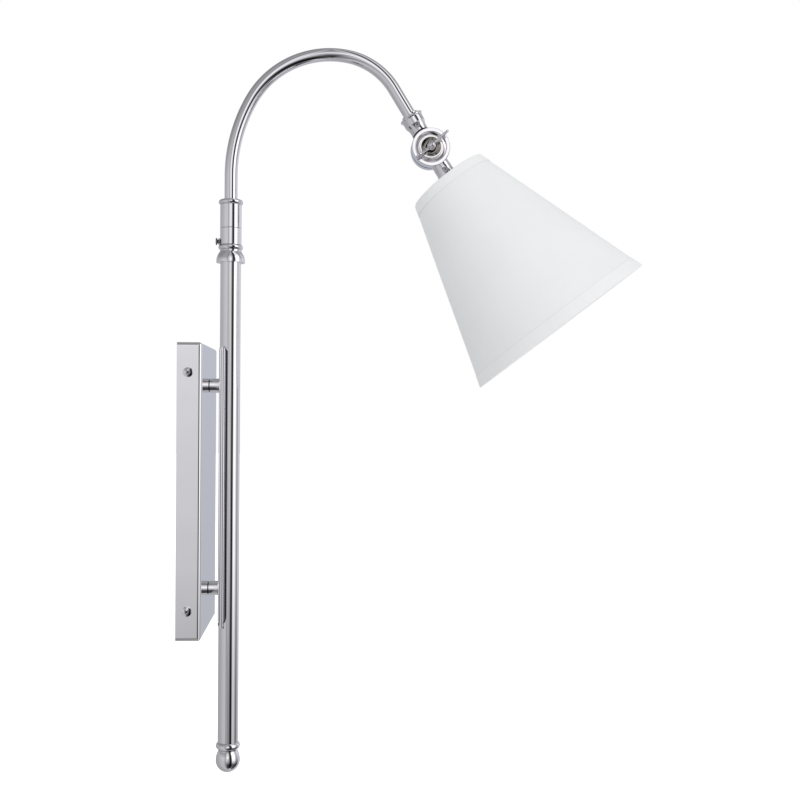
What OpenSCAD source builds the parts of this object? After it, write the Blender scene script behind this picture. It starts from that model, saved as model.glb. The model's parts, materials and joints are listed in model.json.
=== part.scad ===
// Swing arm wall sconce: a box backplate carries a round stem on two posts, a gooseneck arm
// turns on top of the stem, and a fabric shade tilts on a clamped knuckle at the arm's end.
// Origin: centre of the backplate's wall face. +X points out from the wall, +Z up.

/* [Backplate] */
// Height of the backplate
plate_h = 262; // [250:1:300]
// Width of the backplate
plate_w = 120; // [110:1:140]
// Depth of the backplate off the wall
plate_d = 22; // [20:0.5:26]
// Sheet thickness of the backplate
plate_wall = 1.6; // [1.2:0.1:2.4]
// Height of the side screws above and below the middle
side_screw_z = 104.5; // [90:0.5:112]
// Spacing of the wall screws
wall_screw_spacing = 88.9; // [80:0.1:100]
// Hole diameter for the wall screws
wall_screw_hole_d = 5; // [4:0.1:6]

/* [Stem] */
// Outer diameter of the stem tube
stem_d = 19; // [18:0.5:22]
// Wall thickness of the stem tube
stem_wall = 1.5; // [1.2:0.1:1.8]
// Distance of the stem's axis from the wall
stem_x = 40.6; // [39:0.1:46]
// Height of the posts above and below the middle
post_z = 94; // [85:1:100]
// Diameter of the posts
post_d = 13.2; // [12:0.1:14]
// Thickness of the bar let into the back of the stem
bar_t = 6; // [5:0.5:6.5]
// Length of that bar
bar_len = 260; // [240:1:280]
// Width of that bar
bar_w = 17.6; // [16:0.1:18]
// Lowest point of the stem tube
stem_bottom_z = -236.2; // [-260:1:-225]
// Diameter of the ball finial
ball_d = 22.4; // [20:0.2:26]

/* [Swivel] */
// Height of the bell's lower rim on the stem
bell_z = 208.6; // [200:0.2:220]
// Diameter of the bell's lower rim
bell_d = 26.4; // [25:0.2:30]
// Diameter of the swivel sleeves
sleeve_d = 19.8; // [19.6:0.1:21]
// Diameter of the bead rings
bead_d = 22.8; // [22:0.2:25]
// Diameter of the swivel's spigot
spigot_d = 10.9; // [10.5:0.1:11.2]
// Radial play between a turning pin and its bore
running_play = 0.05; // [0.03:0.01:0.09]

/* [Arm] */
// Outer diameter of the gooseneck tube
arm_d = 12; // [11.5:0.1:13]
// Wall thickness of the gooseneck tube
arm_wall = 1.2; // [1:0.1:1.6]
// Height at which the gooseneck starts to bend
bend_z = 290; // [280:1:310]
// Radius of the first bend
bend1_r = 146.5; // [120:0.5:170]
// Angle of the first bend
bend1_a = 29.3; // [25:0.1:34]
// Radius of the second bend
bend2_r = 85.6; // [75:0.1:95]
// Angle of the second bend
bend2_a = 70; // [66:0.1:74]
// Radius of the third bend
bend3_r = 64.6; // [55:0.1:75]
// Angle of the third bend
bend3_a = 49; // [44:0.1:54]
// Distance from the end of the last bend to the knuckle's pivot
arm_tail = 65.7; // [60:0.1:80]

/* [Knuckle] */
// Diameter of the knuckle drum
drum_d = 36; // [34:0.5:40]
// Thickness of the knuckle drum
drum_t = 19; // [18:0.5:22]
// Diameter of the knuckle bolt
bolt_d = 6; // [5:0.5:7]
// Diameter of the necks that leave the drum
neck_d = 16.6; // [14:0.2:16.8]
// Span of the wing nut
wing_span = 40; // [36:1:44]
// Slope of the wings
wing_slope = 41; // [0:1:180]

/* [Head] */
// Slope of the head below the horizontal
head_slope = 56.4; // [30:0.5:80]
// Diameter of the shade's top rim
shade_top_d = 78.2; // [76:1:90]
// Diameter of the shade's bottom rim
shade_bottom_d = 187.6; // [180:1:210]
// Distance from the knuckle's pivot to the shade's top rim
shade_top_at = 34; // [32:0.5:38]
// Height of the shade along its axis
shade_h = 174.4; // [165:1:185]
// Lean of the shade on its wire fitter, towards the near side
shade_lean = 4.3; // [0:0.1:5]
// Lift of the shade on its wire fitter, above the line of the neck
shade_lift = 3.6; // [0:0.1:4]
// Thickness of the lined fabric
fabric_t = 1; // [0.8:0.1:1.4]
// Diameter of the bulb
bulb_d = 60; // [45:1:64]

/* [Hidden] */
$fn = 96;
eps = 0.01;            // overlap that keeps cuts open at their faces
gap = 0.3;             // room between faces that move past each other

// Backplate and bracket
plate_edge_r = 3.5;
bracket_t = 2;
bracket_w = 60;
bracket_h = 236;
ear_w = 18;
ear_t = 1.6;
ear_y = plate_w/2 - plate_wall - ear_t;
side_screw_x = 9.8;
side_screw_d = 4;
entry_hole_d = 16;
entry_hole_z = -26;
earth_hole_d = 4;
earth_z = -70;
terminal_z = 26;
terminal_size = [13, 32, 22];

// Posts and bar
post_back_d = 10;      // threaded end inside the backplate
post_back_len = 10;
post_front_d = 8;      // threaded end inside the bar
bar_back_x = stem_x - stem_d/2;
bar_front_x = bar_back_x + bar_t;
bar_edge_r = 0.43*bar_t;      // nearly a half-round nose
wire_hole_d = 6.4;
post_groove_w = 0.5;   // undercut round each post, where it meets the backplate
post_groove_depth = 0.8;
nut_across = 15;
nut_t = 4;
washer_t = 1;

// Stem ends
stem_bore_d = stem_d - 2*stem_wall;
stem_top_z = 216;
foot_bead_h = 7.4;
foot_neck_h = 0.8;
foot_neck_d = 17.6;
foot_stud_d = 6;
ball_top_z = stem_bottom_z - foot_bead_h - foot_neck_h;
ball_crown_h = 9.1;    // from the ball's widest line up to its flat top
ball_crown_r = 17.8;   // radius of the arc between them
ball_z = ball_top_z - ball_crown_h;

// Swivel
bell_rim_h = 1.6;
bell_dome_r = 12.6;
bead_h = 4.8;
collar_z = bell_z + 11.8;
seam_z = 240.4;
bush_d = 14;
bush_flange_t = 0.15;
bush_flange_d = 17;
thrust_gap = 0.1;
arm_sleeve_z = seam_z + bush_flange_t + thrust_gap;
arm_bead_z = 262.4;
arm_bead_h = 4.8;
tube_seat_z = 256;
spigot_bottom_z = 206;
spigot_bore_d = 6.4;
thumb_z = 228.3;
thumb_d = 3;
thumb_tip_d = 2.4;
groove_w = 4;
groove_d = 8.5;
thumb_head_x = stem_x - sleeve_d/2 - 0.4;

bend_swell = 0.03;     // growth of the tube's diameter from one bend to the next
bend_lap = 0.05;       // degrees that one bend runs into the next

// Gooseneck: points [x, z] and headings, measured from straight up towards +X
head1 = bend1_a;
head2 = head1 + bend2_a;
head3 = head2 + bend3_a;
function bend_centre(p, heading, r) = p + r*[cos(heading), -sin(heading)];
function bend_end(p, heading, r, a) =
    bend_centre(p, heading, r) + r*[-cos(heading + a), sin(heading + a)];
p0 = [stem_x, bend_z];
p1 = bend_end(p0, 0, bend1_r, bend1_a);
p2 = bend_end(p1, head1, bend2_r, bend2_a);
p3 = bend_end(p2, head2, bend3_r, bend3_a);
pivot = p3 + arm_tail*[sin(head3), cos(head3)];

// Knuckle, measured from its pivot
washer_y = 0.6;        // rear face of the friction washer
washer_front_y = -0.2;
front_half_y = washer_front_y - gap;
drum_face_y = -drum_t/2;
drum_clear = 0.4;
shadow_gap = 1.4;      // room round the front half where the arm's neck passes behind it
neck_len = 20.4;
neck_spigot_d = 10.4;
neck_spigot_len = 8;
grub_at = 24.6;        // grub screws that hold the sockets on the necks, from the pivot
grub_d = 4.8;
grub_len = 3;
grub_tip_r = 3.4;
grub_sink_d = 7.2;
socket_rim_at = 37.6;
socket_rim_d = 22.6;
tube_stop_at = 29.5;
cup_r = 10.6;
cup_t = 3;
dish_depth = 1.6;
dish_r = 9.3;
recess_r = 14.6;
recess_floor_r = 12;
recess_depth = 2.4;
boss_d = 9;
boss_len = 6.5;
wing_t = 1.6;

// Head, measured along its axis from the pivot
cap_at = 44;
lamp_neck_foot_r = 13;
shell_at = 56;
shoulder_at = 64;
holder_end_at = 92;
holder_d = 38;
thread_d = 33.2;
fitter_t = 1.4;
fitter_d = 50;
ring_nut_h = 6;
ring_nut_d = 41;
core_at = 58;
core_end_at = 66;
screw_shell_d = 27.2;
screw_shell_t = 0.5;
bulb_at = 69;
bulb_cap_d = 26;
bulb_glass_at = 92;
bulb_end_at = 177;
bulb_wall = 1;
bulb_cone_angle = 34;  // how far below its middle the ball meets the bulb's cone
wire_r = 1.5;
tape_t = 0.5;
top_tape = 10;
bottom_tape = 12;
spoke_r = 1.3;
spoke_count = 3;
spoke_root = 1.8;

// ---- Shared shapes ----

// Square with rounded corners, centred
module rounded_rect(w, h, r) {
    square([w - 2*r, h], center = true);
    square([w, h - 2*r], center = true);
    for (x = [-1, 1], y = [-1, 1])
        translate([x*(w/2 - r), y*(h/2 - r)]) circle(r);
}

// Cylinder from a to b along +X
module rod_x(d, a, b) {
    translate([a, 0, 0]) rotate([0, 90, 0]) cylinder(d = d, h = b - a);
}

// Cylinder from a to b along +Y
module rod_y(d, a, b) {
    translate([0, b, 0]) rotate([90, 0, 0]) cylinder(d = d, h = b - a);
}

// Tube or rod from a to b along +Z; a bore of 0 makes it solid
module pipe(d, bore, a, b) {
    difference() {
        translate([0, 0, a]) cylinder(d = d, h = b - a);
        if (bore > 0)
            translate([0, 0, a - eps]) cylinder(d = bore, h = b - a + 2*eps);
    }
}

// Disc with a half-round edge, standing on its lower face
module bead(d, h) {
    rotate_extrude() {
        square([d/2 - h/2, h]);
        intersection() {
            translate([d/2 - h/2, h/2]) circle(h/2);
            square([d, h]);
        }
    }
}

// Pan head with a cross recess, its top towards +Z
module pan_head(d, h) {
    slot_w = d/6;
    difference() {
        intersection() {
            cylinder(d = d, h = h);
            translate([0, 0, h - d]) sphere(d);
        }
        for (a = [45, 135])
            rotate(a) translate([-d/4, -slot_w/2, h*0.45]) cube([d/2, slot_w, h]);
    }
}

// Things on the stem's axis
module on_stem() {
    translate([stem_x, 0, 0]) children();
}

// Things at the knuckle's pivot
module on_pivot() {
    translate([pivot.x, 0, pivot.y]) children();
}

// Things along the arm's end, with +Z pointing back up the tube
module on_arm_end() {
    on_pivot() rotate([0, head3 - 180, 0]) children();
}

// Things along the head, with +Z pointing towards the shade's mouth
module on_head() {
    on_pivot() rotate([0, 90 + head_slope, 0]) children();
}

// Things carried by the shade, which leans on its fitter
module on_shade() {
    on_head() translate([0, 0, shoulder_at]) rotate([shade_lean, -shade_lift, 0])
        translate([0, 0, -shoulder_at]) children();
}

// One bend of a rod that runs through [x, z] point p at the given heading, a little past its ends
module bend_run(p, heading, r, a, d, bore) {
    c = bend_centre(p, heading, r);
    translate([c.x, 0, c.y]) rotate([90, 0, 0])
        rotate_extrude(angle = a + 2*bend_lap, start = 180 - heading - a - bend_lap)
            translate([r, 0]) difference() {
                circle(d = d);
                if (bore > 0) circle(d = bore);
            }
}

// The whole gooseneck run, from a height below the first bend to a distance short of the pivot
module gooseneck_run(d, bore, from_z, short_of_pivot) {
    swollen = bore > 0 ? bore + bend_swell : 0;
    on_stem() pipe(d, bore, from_z, bend_z);
    bend_run(p0, 0, bend1_r, bend1_a, d + bend_swell, swollen);
    bend_run(p1, head1, bend2_r, bend2_a, d + 2*bend_swell, swollen > 0 ? swollen + bend_swell : 0);
    bend_run(p2, head2, bend3_r, bend3_a, d + bend_swell, swollen);
    on_arm_end() pipe(d, bore, short_of_pivot, arm_tail);
}

// ---- Wall side ----

module wall_bracket() {
    color("gainsboro") difference() {
        union() {
            translate([0, -bracket_w/2, -bracket_h/2]) cube([bracket_t, bracket_w, bracket_h]);
            for (side = [-1, 1], z = [-side_screw_z, side_screw_z]) translate([0, 0, z]) {
                translate([0, side > 0 ? 0 : -ear_y - ear_t, -ear_w/2])
                    cube([bracket_t, ear_y + ear_t, ear_w]);
                translate([0, side > 0 ? ear_y : -ear_y - ear_t, -ear_w/2])
                    cube([side_screw_x + 6, ear_t, ear_w]);
            }
        }
        for (z = [-1, 1]) translate([0, 0, z*wall_screw_spacing/2])
            rod_x(wall_screw_hole_d, -1, bracket_t + 1);
        translate([0, 0, entry_hole_z]) rod_x(entry_hole_d, -1, bracket_t + 1);
        translate([0, 0, earth_z]) rod_x(earth_hole_d, -1, bracket_t + 1);
        for (z = [-1, 1]) translate([side_screw_x, 0, z*side_screw_z])
            rod_y(side_screw_d, -plate_w, plate_w);
    }
}

module backplate() {
    r = plate_edge_r;
    color("silver") difference() {
        intersection() {
            rotate([90, 0, 90]) linear_extrude(plate_d) rounded_rect(plate_w, plate_h, r);
            translate([0, plate_w/2, 0]) rotate([90, 0, 0]) linear_extrude(plate_w)
                rounded_rect(2*plate_d, plate_h, r);
            translate([0, 0, -plate_h/2]) linear_extrude(plate_h)
                rounded_rect(2*plate_d, plate_w, r);
        }
        translate([-1, -plate_w/2 + plate_wall, -plate_h/2 + plate_wall])
            cube([plate_d - plate_wall + 1, plate_w - 2*plate_wall, plate_h - 2*plate_wall]);
        for (z = [-1, 1]) translate([0, 0, z*post_z]) rod_x(post_back_d, 1, plate_d + 1);
        for (z = [-1, 1]) translate([side_screw_x, 0, z*side_screw_z])
            rod_y(side_screw_d, -plate_w, plate_w);
    }
}

module side_screws() {
    color("silver")
        for (side = [-1, 1], z = [-side_screw_z, side_screw_z])
            translate([side_screw_x, side*plate_w/2, z]) rotate([-side*90, 0, 0]) {
                pan_head(8.6, 2.6);
                translate([0, 0, -8]) cylinder(d = side_screw_d, h = 8);
            }
}

module earth_screw() {
    color("green") translate([bracket_t, 0, earth_z]) rotate([0, 90, 0]) {
        pan_head(8, 2.4);
        translate([0, 0, -bracket_t]) cylinder(d = earth_hole_d, h = bracket_t);
    }
}

module terminal_block() {
    s = terminal_size;
    way_pitch = 10;
    color("ivory") translate([bracket_t, 0, terminal_z]) difference() {
        translate([0, -s.y/2, -s.z/2]) cube(s);
        for (y = [-1:1]) translate([0, y*way_pitch, 0]) {
            translate([s.x*0.45, 0, -s.z/2 - 1]) cylinder(d = 3, h = s.z + 2);
            for (z = [-1, 1]) translate([0, 0, z*6]) rod_x(4, s.x*0.45, s.x + 1);
        }
    }
}

// Three conductors from the terminal block to the upper post
module plate_leads() {
    lead_d = 2;
    lead_x = bracket_t + terminal_size.x*0.45;
    color("black") for (y = [-1:1]) {
        bottom = [lead_x, y*10, terminal_z + terminal_size.z/2 - 3];
        top = [lead_x + 0.6, y*2.2, post_z];
        hull() {
            translate(bottom) sphere(d = lead_d, $fn = 20);
            translate(top) sphere(d = lead_d, $fn = 20);
        }
    }
}

// Cable from inside the backplate, through the upper post and up inside the stem
module stem_cable() {
    cable_d = 5;
    turn_r = 7;
    color("dimgray") {
        translate([0, 0, post_z]) rod_x(cable_d, plate_d - 12, stem_x - turn_r);
        translate([stem_x - turn_r, 0, post_z + turn_r]) rotate([90, 0, 0])
            rotate_extrude(angle = 90, start = 270) translate([turn_r, 0]) circle(d = cable_d);
        on_stem() pipe(cable_d, 0, post_z + turn_r, spigot_bottom_z - 2);
    }
}

// One post, hollow where the cable runs through it
module post(bore) {
    color("silver") difference() {
        union() {
            rod_x(post_back_d, plate_d - plate_wall - post_back_len, plate_d);
            rod_x(post_d, plate_d, bar_back_x);
            rod_x(post_front_d, bar_back_x, bar_front_x);
        }
        translate([plate_d, 0, 0]) rotate([0, 90, 0]) difference() {
            translate([0, 0, -eps]) cylinder(d = 2*post_d, h = post_groove_w + eps);
            translate([0, 0, -1]) cylinder(d = post_d - 2*post_groove_depth, h = post_groove_w + 2);
        }
        if (bore > 0) rod_x(bore, 0, stem_x);
    }
}

module upper_post() {
    translate([0, 0, post_z]) post(wire_hole_d);
}

module lower_post() {
    translate([0, 0, -post_z]) post(0);
}

module post_nuts() {
    nut_front = plate_d - plate_wall - washer_t;
    color("goldenrod") for (z = [-1, 1]) translate([0, 0, z*post_z]) difference() {
        translate([nut_front - nut_t, 0, 0]) rotate([0, 90, 0])
            cylinder(d = nut_across/cos(30), h = nut_t, $fn = 6);
        rod_x(post_back_d, 0, plate_d);
    }
}

module post_washers() {
    color("lightgray") for (z = [-1, 1]) translate([0, 0, z*post_z]) difference() {
        rod_x(20, plate_d - plate_wall - washer_t, plate_d - plate_wall);
        rod_x(post_back_d, 0, plate_d);
    }
}

// ---- Stem ----

module stem_bar() {
    color("silver") translate([bar_back_x + bar_t/2, 0, 0]) difference() {
        intersection() {
            translate([0, 0, -bar_len/2]) linear_extrude(bar_len)
                rounded_rect(bar_t, bar_w, bar_edge_r);
            rotate([90, 0, 0]) translate([0, 0, -bar_w/2]) linear_extrude(bar_w)
                rounded_rect(bar_t, bar_len, bar_t/2 - 2*eps);
        }
        for (z = [-1, 1]) translate([0, 0, z*post_z]) rod_x(post_front_d, -bar_t, bar_t);
    }
}

module stem_tube() {
    color("silver") difference() {
        on_stem() pipe(stem_d, stem_bore_d, stem_bottom_z, stem_top_z);
        translate([0, -stem_d, -bar_len/2]) cube([bar_front_x, 2*stem_d, bar_len]);
    }
}

module foot_bead() {
    spigot_len = 12;
    color("silver") on_stem() difference() {
        union() {
            translate([0, 0, stem_bottom_z - foot_bead_h]) bead(ball_d, foot_bead_h);
            translate([0, 0, ball_top_z]) cylinder(d = foot_neck_d, h = foot_neck_h + 1);
            translate([0, 0, stem_bottom_z - 1]) cylinder(d = stem_bore_d, h = spigot_len);
        }
        translate([0, 0, ball_top_z - 1]) cylinder(d = foot_stud_d, h = 16);
    }
}

module ball_finial() {
    color("silver") on_stem() {
        translate([0, 0, ball_z]) rotate_extrude() {
            intersection() {
                circle(d = ball_d);
                translate([0, -ball_d]) square([ball_d, ball_d + eps]);
            }
            intersection() {
                translate([ball_d/2 - ball_crown_r, 0]) circle(ball_crown_r);
                square([ball_d, ball_crown_h]);
            }
        }
        translate([0, 0, ball_top_z - 4]) cylinder(d = foot_stud_d, h = 14);
    }
}

module stem_bell() {
    rim_r = bell_d/2;
    top_h = collar_z - bell_z;
    color("silver") on_stem() translate([0, 0, bell_z]) difference() {
        rotate_extrude() {
            square([rim_r, bell_rim_h]);
            intersection() {
                translate([rim_r - bell_dome_r, bell_rim_h]) circle(bell_dome_r);
                translate([0, bell_rim_h]) square([rim_r, top_h - bell_rim_h]);
            }
            square([sleeve_d/2 + 0.1, top_h]);
        }
        translate([0, 0, -1]) cylinder(d = stem_d, h = stem_top_z - bell_z + 1);
        cylinder(d = stem_bore_d, h = 2*top_h);
    }
}

module lower_sleeve() {
    color("silver") difference() {
        on_stem() {
            translate([0, 0, collar_z]) bead(bead_d, bead_h);
            translate([0, 0, collar_z]) cylinder(d = sleeve_d, h = seam_z - collar_z);
            translate([0, 0, spigot_bottom_z - 1])
                cylinder(d = stem_bore_d, h = collar_z - spigot_bottom_z + 1 + eps);
        }
        on_stem() translate([0, 0, spigot_bottom_z - 2]) cylinder(d = bush_d, h = 60);
        translate([0, 0, thumb_z]) rod_x(thumb_d + 2*running_play, 0, stem_x);
    }
}

module pivot_bush() {
    color("peru") difference() {
        on_stem() {
            translate([0, 0, spigot_bottom_z + 1]) cylinder(d = bush_d, h = seam_z - spigot_bottom_z - 1);
            translate([0, 0, seam_z]) cylinder(d = bush_flange_d, h = bush_flange_t);
        }
        on_stem() cylinder(d = spigot_d + 2*running_play, h = 2*seam_z);
        translate([0, 0, thumb_z]) rod_x(thumb_d + 2*gap, 0, stem_x);
    }
}

// Waisted thumbscrew on the wall side of the lower sleeve
module thumbscrew() {
    head_len = 3.6;
    head_d = 6.8;
    waist_r = 1.9;
    scoop_r = 1.1;
    tip_x = stem_x - groove_d/2 - 0.4;
    color("silver") translate([0, 0, thumb_z]) {
        rod_x(thumb_tip_d, tip_x - 3, tip_x);
        rod_x(thumb_d, thumb_head_x - 0.2, tip_x - 3 + eps);
        translate([thumb_head_x, 0, 0]) rotate([0, -90, 0]) rotate_extrude() difference() {
            square([head_d/2, head_len]);
            translate([waist_r + scoop_r, head_len*0.45]) circle(scoop_r);
            translate([waist_r + scoop_r, head_len*0.45 - scoop_r]) square([head_d, 2*scoop_r]);
        }
    }
}

// ---- Arm ----

module pivot_spigot() {
    color("silver") on_stem() difference() {
        pipe(spigot_d, spigot_bore_d, spigot_bottom_z, tube_seat_z);
        translate([0, 0, thumb_z - groove_w/2]) pipe(2*spigot_d, groove_d, 0, groove_w);
    }
}

module upper_sleeve() {
    color("silver") on_stem() difference() {
        union() {
            translate([0, 0, arm_sleeve_z]) cylinder(d = sleeve_d, h = arm_bead_z - arm_sleeve_z + 1);
            translate([0, 0, arm_bead_z]) bead(bead_d - 0.2, arm_bead_h);
        }
        translate([0, 0, arm_sleeve_z - 1]) cylinder(d = spigot_d, h = 30);
        translate([0, 0, tube_seat_z]) cylinder(d = arm_d, h = 30);
    }
}

module gooseneck_tube() {
    color("silver") gooseneck_run(arm_d, arm_d - 2*arm_wall, tube_seat_z, tube_stop_at);
}

module arm_cable() {
    color("dimgray") gooseneck_run(5, 0, spigot_bottom_z + 1, tube_stop_at + 1);
}

// Trumpet-shaped socket that takes the end of the tube
module arm_socket() {
    waist_r = neck_d/2;
    flare_r = 14;
    rim_h = 2.6;
    step_h = 2;
    rim_base = socket_rim_at - rim_h - step_h;
    flare_h = rim_base - neck_len;
    color("silver") on_arm_end() difference() {
        union() {
            translate([0, 0, rim_base]) bead(socket_rim_d, rim_h);
            translate([0, 0, rim_base + rim_h - eps]) cylinder(d = arm_d + 4, h = step_h);
            translate([0, 0, neck_len]) rotate_extrude() difference() {
                square([socket_rim_d/2 - rim_h/2, flare_h + eps]);
                translate([waist_r + flare_r, 0]) circle(flare_r);
            }
        }
        translate([0, 0, neck_len - 1]) cylinder(d = neck_spigot_d, h = tube_stop_at - neck_len + 1);
        translate([0, 0, tube_stop_at]) cylinder(d = arm_d, h = 20);
        grub_hole();
    }
}

// Tapped and countersunk hole for a grub screw, on the near side of a neck that runs along +Z
module grub_hole() {
    translate([0, 0, grub_at]) {
        rod_y(grub_d, -2*neck_d, -grub_tip_r);
        translate([0, -neck_d/2 + 0.6, 0]) rotate([90, 0, 0])
            cylinder(d1 = grub_d, d2 = grub_sink_d + 1.2, h = 2);
    }
}

// Grub screw with a hex socket, in a neck that runs along +Z
module grub_screw() {
    top_y = -grub_tip_r - grub_len;
    translate([0, 0, grub_at]) difference() {
        rod_y(grub_d, top_y, -grub_tip_r);
        translate([0, top_y + 2, 0]) rotate([90, 0, 0]) cylinder(d = 2.6, h = 4, $fn = 6);
    }
}

module arm_grub_screw() {
    color("dimgray") on_arm_end() grub_screw();
}

module head_grub_screw() {
    color("dimgray") on_head() grub_screw();
}

// ---- Knuckle ----

// Neck with its spigot, leaving the drum along +Z
module drum_neck() {
    cylinder(d = neck_d, h = neck_len);
    cylinder(d = neck_spigot_d, h = neck_len + neck_spigot_len);
}

module knuckle_rear() {
    color("silver") difference() {
        union() {
            on_pivot() rod_y(drum_d, washer_y, drum_t/2);
            difference() {
                on_arm_end() drum_neck();
                on_pivot() rod_y(drum_d + 2*shadow_gap, -drum_t, washer_y);
                on_pivot() rod_y(drum_d - 2, washer_y - 1, drum_t);
            }
        }
        on_pivot() rod_y(bolt_d, -drum_t, drum_t);
        on_pivot() rod_y(12, drum_t/2 - 3, drum_t);
        on_arm_end() translate([0, 0, drum_d/2 - 3]) cylinder(d = 4, h = 30);
        on_arm_end() grub_hole();
    }
}

module friction_washer() {
    color("black") on_pivot() difference() {
        rod_y(drum_d - 6, washer_front_y, washer_y);
        rod_y(bolt_d, -drum_t, drum_t);
    }
}

module knuckle_bolt() {
    tip_y = drum_face_y - boss_len - 2;
    color("silver") on_pivot() {
        rod_y(12, drum_t/2 - 3, drum_t/2 - 0.4);
        rod_y(bolt_d, tip_y, drum_t/2 - 3 + eps);
        intersection() {
            translate([0, tip_y + 1, 0]) sphere(bolt_d/2 + 0.1);
            rod_y(bolt_d, tip_y - bolt_d, tip_y + eps);
        }
    }
}

module knuckle_front() {
    color("silver") difference() {
        union() {
            on_pivot() rod_y(drum_d, drum_face_y, front_half_y);
            difference() {
                on_head() drum_neck();
                on_pivot() rod_y(drum_d + 2*drum_clear, front_half_y, drum_t);
                on_pivot() rod_y(drum_d - 2, -drum_t, front_half_y + 1);
            }
        }
        on_pivot() rod_y(bolt_d + 2*running_play, -drum_t, drum_t);
        on_pivot() translate([0, drum_face_y + recess_depth, 0]) rotate([90, 0, 0])
            cylinder(r1 = recess_floor_r, r2 = recess_r, h = recess_depth + eps);
        on_head() translate([0, 0, drum_d/2 - 3]) cylinder(d = 4, h = 30);
        on_head() grub_hole();
    }
}

// Dished washer that the wing nut bears on
module cup_washer() {
    dish_centre_h = (pow(dish_r, 2) - pow(dish_depth, 2))/(2*dish_depth);
    color("silver") on_pivot() translate([0, drum_face_y + recess_depth, 0]) rotate([90, 0, 0])
        difference() {
            rotate_extrude() difference() {
                square([cup_r, cup_t]);
                translate([0, cup_t + dish_centre_h]) circle(dish_centre_h + dish_depth);
                translate([0, cup_t - dish_depth]) square([boss_d/2 + gap, 2*cup_t]);
            }
            translate([0, 0, -1]) cylinder(d = bolt_d + 2*running_play, h = 2*cup_t);
        }
}

module wing_nut() {
    base_y = drum_face_y + recess_depth - cup_t + dish_depth - gap;
    tip_r = 3.4;
    color("silver") on_pivot() rotate([0, -wing_slope, 0]) difference() {
        union() {
            rod_y(boss_d, base_y - boss_len, base_y);
            for (side = [0, 180]) rotate([0, side, 0])
                translate([0, base_y, -wing_t/2]) linear_extrude(wing_t) {
                    polygon([[0, -0.6], [boss_d/2 + 1, -1.2], [wing_span/2 - tip_r, -boss_len - 1],
                             [wing_span/2 - tip_r, -boss_len - 1 - 2*tip_r], [0, -boss_len]]);
                    translate([wing_span/2 - tip_r, -boss_len - 1 - tip_r]) circle(tip_r);
                }
        }
        rod_y(bolt_d + 2*running_play, -2*drum_t, drum_t);
    }
}

// ---- Head ----

module lamp_neck() {
    flare_r = 12;
    color("silver") on_head() difference() {
        translate([0, 0, neck_len]) rotate_extrude() difference() {
            square([lamp_neck_foot_r, cap_at - neck_len]);
            translate([neck_d/2 + 0.2 + flare_r, 4]) circle(flare_r);
            translate([neck_d/2 + 0.2, -1]) square([20, 5]);
        }
        cylinder(d = neck_spigot_d, h = neck_len + neck_spigot_len);
        cylinder(d = 6, h = 2*cap_at);
        grub_hole();
    }
}

module holder_cap() {
    h = shell_at - cap_at;
    color("silver") on_head() translate([0, 0, cap_at]) difference() {
        rotate_extrude() {
            square([lamp_neck_foot_r, h]);
            intersection() {
                translate([holder_d/2 - h, h]) circle(h);
                square([holder_d/2, h]);
            }
        }
        translate([0, 0, 3]) cylinder(d = holder_d - 12, h = h);
        translate([0, 0, -1]) cylinder(d = 6, h = h);
    }
}

module holder_shell() {
    color("silver") on_head() difference() {
        union() {
            pipe(holder_d, 0, shell_at, shoulder_at);
            pipe(thread_d, 0, shoulder_at - eps, holder_end_at);
        }
        translate([0, 0, shell_at - 1]) cylinder(d = thread_d - 2.4, h = 50);
    }
}

module holder_core() {
    color("white") on_head() difference() {
        pipe(thread_d - 2.4, 0, core_at, core_end_at);
        for (x = [-6, 6]) translate([x, 0, core_at - 1]) cylinder(d = 4.4, h = 5);
    }
}

module screw_shell() {
    color("goldenrod") on_head() pipe(screw_shell_d + 2*screw_shell_t, screw_shell_d,
        core_end_at, holder_end_at - 2);
}

module centre_contact() {
    color("goldenrod") on_head() {
        pipe(5, 0, core_end_at, core_end_at + 1);
        pipe(3, 0, core_end_at + 1 - eps, bulb_at - 0.6);
    }
}

module head_leads() {
    color("dimgray") on_head() pipe(3.4, 0, drum_d/2 + 1, cap_at + 3);
    color("black") on_head() for (x = [-6, 6]) hull() {
        translate([x/4, 0, cap_at + 3.9]) sphere(d = 1.8, $fn = 20);
        translate([x, 0, core_at + 2.8]) sphere(d = 1.8, $fn = 20);
    }
}

// Radius of the shade's outer face at a distance along its axis from its top rim
function shade_r(at) = shade_top_d/2 + (shade_bottom_d - shade_top_d)/2*at/shade_h;

// Cone shell between two distances from the top rim, from one depth inside the face to another
module shade_band(a, b, depth_out, depth_in) {
    rotate_extrude() polygon([
        [shade_r(a) - depth_out, a], [shade_r(b) - depth_out, b],
        [shade_r(b) - depth_in, b], [shade_r(a) - depth_in, a]]);
}

module shade_fabric() {
    color("white") on_shade() translate([0, 0, shade_top_at])
        shade_band(tape_t, shade_h - tape_t, 0, fabric_t);
}

// Wire ring inside an edge of the shade
module edge_wire(at) {
    color("gray") on_shade() translate([0, 0, shade_top_at + at]) rotate_extrude()
        translate([shade_r(at) - fabric_t - wire_r - 0.6, 0]) circle(wire_r);
}

module top_wire() {
    edge_wire(wire_r + 2*tape_t);
}

module bottom_wire() {
    edge_wire(shade_h - wire_r - 2*tape_t);
}

// Tape folded over an edge of the shade, from the edge to its width, round the wire
module edge_tape(edge, inner, dir) {
    fold = fabric_t + 2*wire_r + 1.2;
    lip = edge + dir*tape_t;
    inner_end = edge + dir*(2*wire_r + 3);
    module band(a, b, o, i) { shade_band(min(a, b), max(a, b), o, i); }
    color("whitesmoke") on_shade() translate([0, 0, shade_top_at]) {
        band(edge, inner, -tape_t, 0);
        band(edge, lip, -tape_t, fold + tape_t);
        band(edge, inner_end, fold, fold + tape_t);
    }
}

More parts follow.
